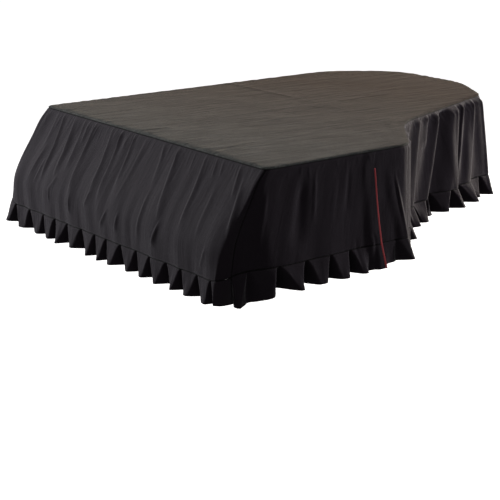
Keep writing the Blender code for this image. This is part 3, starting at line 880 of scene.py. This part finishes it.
def flap_lift(along, drop):
    """The flap lies over the rear edge of the slit and stands away from it lower down."""
    over_underlap = FLAP_MARGIN - UNDERLAP - FLAP_CLEAR
    margin = smooth((along - slit_line(drop) + FLAP_MARGIN) / over_underlap)
    return margin * (FLAP_LIFT + FLAP_FLARE * (drop / (SIDE_SEAM_DROP + RUFFLE_DEPTH)) ** 2)


def beside_slit(offset):
    """A line beside the slit, at a distance behind it."""
    return lambda drop: slit_line(drop) + offset


treble_creases = [*TREBLE_CREASES, *gathered_creases(TREBLE_PUCKERS, seed=6)]
treble_side = Side(seam_after(FRONT_TREBLE), beside_slit(0.0), FRONT_TREBLE, TREBLE_FOLDS, treble_creases,
                   (True, False), flap_lift, flap=True)
treble = add_panel("treble_panel_cloth", treble_side, spacing=0.0040, rows=50)


# The bent side panel: one long piece from under the slit's flap, round the rear treble corner and the
# hollow of the curved side to the tail. It is gathered along its top seam and hangs in deep folds.
TAIL_SEAM = LID.corners[4] + 0.16
BENT_SIDE_FOLDS = (
    (0.046, 0.138, 0.014, 0.018, 0.000, 0.006),
    (0.155, 0.155, 0.028, 0.034, 0.003, 0.006, 1.4),
    (0.310, 0.300, 0.036, 0.044, 0.005, 0.012, 3.0),
    (0.430, 0.420, 0.036, 0.044, 0.006, 0.014, 3.0),
    (0.658, 0.594, 0.030, 0.038, 0.008, 0.013, 3.0),
    (0.805, 0.703, 0.030, 0.042, 0.007, 0.009, 3.0),
    (0.862, 0.748, 0.018, 0.028, -0.020, -0.030, 0.38),
    (0.945, 0.889, 0.054, 0.075, 0.016, 0.029, 3.2),
    (1.010, 0.937, 0.018, 0.024, 0.008, 0.006),
    (1.083, 0.989, 0.026, 0.034, 0.010, 0.021, 1.3),
    (1.150, 1.130, 0.028, 0.042, 0.010, 0.018, 1.3),
)
BENT_SIDE_CREASES = (
    (0.092, 0.122, 0.146, 0.22, 1.00, 0.010, 0.006),
    (0.165, 0.168, 0.170, 0.00, 1.00, 0.014, 0.004),
    (0.230, 0.236, 0.240, 0.00, 0.70, 0.022, 0.007, 2.2),
    (0.300, 0.296, 0.292, 0.00, 1.00, 0.026, 0.0100, 2.2),
    (0.365, 0.362, 0.360, 0.00, 0.60, 0.020, 0.007, 2.2),
    (0.430, 0.426, 0.420, 0.00, 1.00, 0.026, 0.011, 2.2),
    (0.505, 0.500, 0.498, 0.00, 0.80, 0.022, 0.007, 2.2),
    (0.575, 0.566, 0.560, 0.00, 1.00, 0.022, 0.007, 2.2),
    (0.668, 0.640, 0.610, 0.00, 1.00, 0.024, 0.009, 2.2),
    (0.735, 0.725, 0.715, 0.00, 0.42, 0.020, 0.007, 2.2),
    (0.800, 0.765, 0.718, 0.00, 1.00, 0.022, 0.011, 2.2),
    (0.958, 0.938, 0.912, 0.00, 1.00, 0.020, 0.0100, 1.4),
    (1.012, 0.972, 0.944, 0.00, 0.85, 0.012, 0.007),
    (1.093, 1.056, 1.014, 0.00, 1.00, 0.018, 0.011, 1.4),
    (1.160, 1.152, 1.142, 0.00, 1.00, 0.016, 0.007),
    (1.250, 1.245, 1.240, 0.00, 0.80, 0.013, 0.005),
)
BENT_SIDE_PUCKERS = ((0.10, 0.60, 26), (0.60, 1.25, 52))

bent_creases = [*BENT_SIDE_CREASES, *gathered_creases(BENT_SIDE_PUCKERS, seed=7)]
bent_side = Side(
    beside_slit(-UNDERLAP), seam_before(TAIL_SEAM), SLIT, BENT_SIDE_FOLDS, bent_creases, (False, True))
bent = add_panel("bent_side_panel_cloth", bent_side, spacing=0.0034, rows=46)


# The tail panel: the same black cloth round the lid's narrow end, from a seam on the curved side to one
# at the bass side. It is gathered along its top seam as the bent side is, and hangs out over the tail
# in deep, even folds.
BASS_SEAM = LID.corners[7]
TAIL_FOLDS = (
    (0.075, 0.085, 0.034, 0.046, 0.010, 0.024),
    (0.190, 0.200, 0.034, 0.046, 0.008, 0.018),
    (0.310, 0.300, 0.036, 0.050, 0.010, 0.026),
    (0.430, 0.440, 0.034, 0.050, 0.008, 0.018),
    (0.555, 0.545, 0.036, 0.048, 0.010, 0.024),
    (0.695, 0.705, 0.036, 0.050, 0.008, 0.020),
)
TAIL_CREASES = (
    (0.030, 0.034, 0.036, 0.00, 0.80, 0.012, 0.005),
    (0.082, 0.084, 0.088, 0.00, 1.00, 0.014, 0.008),
    (0.140, 0.146, 0.150, 0.00, 0.60, 0.011, 0.004),
    (0.196, 0.200, 0.204, 0.00, 1.00, 0.014, 0.007),
    (0.305, 0.300, 0.298, 0.00, 1.00, 0.014, 0.008),
    (0.366, 0.370, 0.374, 0.00, 0.70, 0.011, 0.005),
    (0.430, 0.436, 0.442, 0.00, 1.00, 0.014, 0.007),
    (0.552, 0.548, 0.544, 0.00, 1.00, 0.014, 0.008),
    (0.620, 0.624, 0.630, 0.00, 0.60, 0.011, 0.005),
    (0.698, 0.704, 0.708, 0.00, 1.00, 0.014, 0.007),
)
TAIL_PUCKERS = ((0.01, 0.76, 50),)

tail_creases = [*TAIL_CREASES, *gathered_creases(TAIL_PUCKERS, seed=8)]
tail_side = Side(
    seam_after(TAIL_SEAM), seam_before(BASS_SEAM), TAIL_SEAM, TAIL_FOLDS, tail_creases, (True, True))
tail = add_panel("tail_panel_cloth", tail_side, spacing=0.0034, rows=46)


# The bass panel: the same cloth down the long straight left side, sewn to the tail panel and to the
# front panel. It hangs nearly smooth, with a few low folds and a trough beside the front corner.
BASS_FOLDS = (
    (0.120, 0.130, 0.050, 0.060, 0.004, 0.014),
    (0.330, 0.320, 0.060, 0.070, 0.002, 0.008),
    (0.600, 0.610, 0.060, 0.070, 0.002, 0.009),
    (0.860, 0.850, 0.060, 0.070, 0.002, 0.007),
    (1.050, 1.060, 0.040, 0.050, 0.003, 0.009),
    (1.267, 1.209, 0.0070, 0.043, 0.000, -0.018),
)
BASS_CREASES = (
    (0.118, 0.122, 0.128, 0.00, 1.00, 0.015, 0.005),
    (0.210, 0.214, 0.220, 0.00, 0.60, 0.013, 0.003),
    (0.326, 0.322, 0.318, 0.02, 0.90, 0.016, 0.0034),
    (0.470, 0.476, 0.480, 0.02, 0.80, 0.016, 0.0026),
    (0.604, 0.606, 0.612, 0.02, 1.00, 0.016, 0.0036),
    (0.735, 0.728, 0.724, 0.02, 0.70, 0.014, 0.0026),
    (0.862, 0.856, 0.850, 0.02, 1.00, 0.016, 0.0034),
    (0.960, 0.966, 0.968, 0.02, 0.60, 0.013, 0.0024),
    (1.052, 1.056, 1.062, 0.02, 1.00, 0.014, 0.0036),
)
BASS_PUCKERS = ((0.02, 0.20, 9), (0.22, 1.22, 24))

bass_creases = [*BASS_CREASES, *gathered_creases(BASS_PUCKERS, seed=9)]
bass_side = Side(
    seam_after(BASS_SEAM), seam_before(LID.total), BASS_SEAM, BASS_FOLDS, bass_creases, (True, True))
bass = add_panel("bass_panel_cloth", bass_side, spacing=0.0040, rows=46)


# The ruffle: five strips of the same cloth, gathered onto the lower seam of the panels. Each pleat is
# flat at the seam and stands out in a rounded tongue at the hem, with a deep valley behind it. The hem
# is turned up inside and stitched.
FLAP_HEM_DROP = 0.010
CORNER_HEM_DROP = 0.028
CORNER_HEM_AT = 0.045
CORNER_HEM_REACH = 0.11
PLEAT_PITCH = 0.092
PLEAT_UNEVENNESS = 0.24
PLEAT_CREST = 0.022
PLEAT_VALLEY = 0.044
PLEAT_ROOT = 0.47
PLEAT_SIZE = (0.72, 1.18)
PLEAT_SWING_WAVE = 0.2
PLEAT_SWING_WAVELENGTH = 0.317
PLEAT_LEAN = (-0.004, 0.026)
PLEAT_TIP = (0.02, 0.16)

# Where the pleats are flatter: how far behind the slit or the front treble corner, the half width, how
# softly it ends, and how much of the pleats' swing it takes away.
FLAT_BY_SLIT = (0.063, 0.085, 0.045, 0.92)
FLAT_BY_CORNER = (0.050, 0.096, 0.060, 0.6)

# The pleats' places along the lid's edge, from the front bass corner, the front treble corner and the slit.
FRONT_PLEATS = (0.03, 0.12, 0.245, 0.325, 0.425, 0.515, 0.630, 0.712, 0.795, 0.905, 0.998, 1.092, 1.200,
                1.285, 1.385, 1.455)
TREBLE_PLEATS = (0.035, 0.104, 0.190, 0.283, 0.350, 0.420)
BENT_SIDE_PLEATS = (0.07, 0.155, 0.24, 0.33, 0.42, 0.505, 0.585, 0.66, 0.745, 0.825, 0.905, 0.985,
                    1.06, 1.135, 1.21, 1.29)
RIPPLE = 0.0016
RIPPLES_A_PLEAT = 3.0
RUFFLE_SWELL = 0.0012
RUFFLE_ROWS = 16
RUFFLE_SPACING = 0.0034
RUFFLE_FULLNESS = 1.3
HEM_FROM = 0.862
HEM_STEP = 0.03
HEM_RISE = 0.0009


def ruffle_depth(along, flap):
    """The ruffle hangs lower round the front treble corner, and a little lower on the slit's flap."""
    beside_corner = np.abs(along - FRONT_TREBLE - CORNER_HEM_AT) / CORNER_HEM_REACH
    on_flap = FLAP_HEM_DROP * (1.0 - frontness(along)) if flap else 0.0
    return RUFFLE_DEPTH + CORNER_HEM_DROP * smooth(1.0 - beside_corner) + on_flap


def pleat_places():
    """Every pleat's place along the lid's edge: the three listed stretches, then an uneven row."""
    places = list(FRONT_PLEATS)
    places += [FRONT_TREBLE + place for place in TREBLE_PLEATS]
    places += [SLIT + place for place in BENT_SIDE_PLEATS]
    uneven = random.Random(11)
    left = LID.total + places[0] - places[-1]
    count = round(left / PLEAT_PITCH)
    gaps = [1.0 + uneven.uniform(-PLEAT_UNEVENNESS, PLEAT_UNEVENNESS) for _ in range(count)]
    for gap in gaps[:-1]:
        places.append(places[-1] + left * gap / sum(gaps))
    return np.array(places)


PLEATS = pleat_places()


def flatter(along, start, place, half_width, softness, share):
    """1 where the ruffle swings fully, less by a share of it near one place."""
    inside = half_width - np.abs(along - start - place)
    return 1.0 - share * smooth(inside / softness)


def pleat_turn(along):
    """Whole numbers at the pleats' crests and halves in the valleys between them."""
    places = np.append(PLEATS, PLEATS[0] + LID.total)
    return np.interp((along - places[0]) % LID.total + places[0], places, np.arange(len(places)))


def pleat_depth(along):
    """How far the pleats swing, which is less beside the slit and the front treble corner."""
    depth = 1.0 + PLEAT_SWING_WAVE * np.sin(math.tau * along / PLEAT_SWING_WAVELENGTH)
    return depth * flatter(along, SLIT, *FLAT_BY_SLIT) * flatter(along, FRONT_TREBLE, *FLAT_BY_CORNER)


def by_pleat(turn, seed, low, high):
    """A value of each pleat's own, between two limits."""
    mixed = random.Random(seed)
    values = [mixed.uniform(low, high) for _ in range(len(PLEATS))]
    return np.interp(turn, np.arange(len(PLEATS) + 1), values + values[:1])


def ruffle_points(along, share, side):
    """Points on the outer face of the ruffle, which hangs from the lower edge of its panel."""
    head, outward = hang(along, np.ones_like(share), side)
    sideways = np.stack((-outward[..., 1], outward[..., 0]), -1)
    drop = seam_drop(along) + SEAM_GAP + ruffle_depth(along, side.flap) * share
    turn = pleat_turn(along)
    depth = pleat_depth(along) * by_pleat(turn, 15, *PLEAT_SIZE)
    flat_half = PLEAT_ROOT - (PLEAT_ROOT - by_pleat(turn, 13, *PLEAT_TIP)) * share ** 0.7
    from_crest = np.abs(turn - np.rint(turn))
    valley = smooth((from_crest - flat_half) / (0.5 - flat_half))
    small = RIPPLE * np.sin(math.tau * RIPPLES_A_PLEAT * turn + 1.0) * share
    small = small + RUFFLE_SWELL * unevenness(along, drop, 31, (8.0, 26.0), 9.0)
    swing = PLEAT_CREST * depth * share - (PLEAT_CREST + PLEAT_VALLEY) * depth * valley * share ** 0.5
    swing = swing + small * share
    swing = swing + side.lift(along, drop) - side.lift(along, seam_drop(along))
    lean = by_pleat(turn, 14, *PLEAT_LEAN) * depth * share
    flat = head[..., :2] + outward * swing[..., None] + sideways * lean[..., None]
    return np.concatenate((flat, (CLOTH - drop)[..., None]), -1), outward


def ruffle_drop(share):
    return SIDE_SEAM_DROP + SEAM_GAP + RUFFLE_DEPTH * share


def add_ruffle(name, side):
    shares, turned_rows = sewn_ends(RUFFLE_DEPTH, RUFFLE_ROWS, (True, False))
    share, fraction, along, length, turned_columns = spread(side, shares, ruffle_drop, RUFFLE_SPACING)
    points, outward = ruffle_points(along, share, side)
    seam = near_seam(share * RUFFLE_DEPTH, fraction, length, side.sewn)
    hem = smooth((share - HEM_FROM) / HEM_STEP)
    inward = SEAM_DIP * seam - HEM_RISE * hem + turned_rows[:, None] + turned_columns
    points[..., :2] -= outward * inward[..., None]
    ruffle = add_hanging(name, points, np.stack((along * RUFFLE_FULLNESS, -points[..., 2]), -1), seam)


add_ruffle("front_ruffle_cloth", front_side)
add_ruffle("treble_ruffle_cloth", treble_side)
add_ruffle("bent_side_ruffle_cloth", bent_side)
add_ruffle("tail_ruffle_cloth", tail_side)
add_ruffle("bass_ruffle_cloth", bass_side)


# The slit's edging: a narrow strip of red cloth, folded double and sewn behind the flap's rear edge, so
# that a thin red line shows from the slit's top to the hem.
EDGING_WIDTH = 0.006
EDGING_BULGE = 0.0008
EDGING_ROWS = 90
EDGING_COLUMNS = 7
RED_EDGING = cloth_material(
    "red edging cloth", dye=(0.700, 0.100, 0.110), worn=(0.780, 0.150, 0.160), mottling=0.30,
    sheen=0.45, sheen_tint=(1.00, 0.45, 0.45))


def edging_drop(share):
    return SLIT_DROP + (ruffle_drop(1.0) + FLAP_HEM_DROP - SLIT_DROP) * share


def edging_points(along, share):
    """Points on the edging: it follows the flap down the panel, then down the ruffle."""
    unpuckered = treble_side._replace(creases=TREBLE_CREASES)
    drop = edging_drop(share)
    on_panel = np.clip((drop - TOP_DROP) / (SIDE_SEAM_DROP - TOP_DROP), 0.0, 1.0)
    on_ruffle = np.clip((drop - SIDE_SEAM_DROP) / ruffle_depth(along, True), 0.0, 1.0)
    above = hang(along, on_panel, unpuckered)[0]
    below = ruffle_points(along, on_ruffle, unpuckered)[0]
    points = np.where((drop > SIDE_SEAM_DROP)[..., None], below, above)
    points[..., 2] = CLOTH - drop
    return points


share, fraction = np.meshgrid(np.linspace(0.0, 1.0, EDGING_ROWS), np.linspace(0.0, 1.0, EDGING_COLUMNS),
                              indexing="ij")
below_seam = np.maximum(edging_drop(share) - SIDE_SEAM_DROP, 0.0)
lengthened = below_seam * FLAP_HEM_DROP / (RUFFLE_DEPTH + FLAP_HEM_DROP)
along = slit_line(edging_drop(share) - lengthened) + SEAM_GAP + EDGING_WIDTH * fraction
points = edging_points(along, share)
points[..., 0] += EDGING_BULGE * (1.0 - (2.0 * fraction - 1.0) ** 2) - EDGING_BULGE
lay = np.stack((along, -points[..., 2]), -1)
edging = add_sheet("slit_edging_cloth", points.reshape(-1, 3), lay.reshape(-1, 2), grid_faces(*share.shape),
                   RED_EDGING, np.zeros(share.shape), RED_EDGING)
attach(edging, "root")
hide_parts("slit_edging")
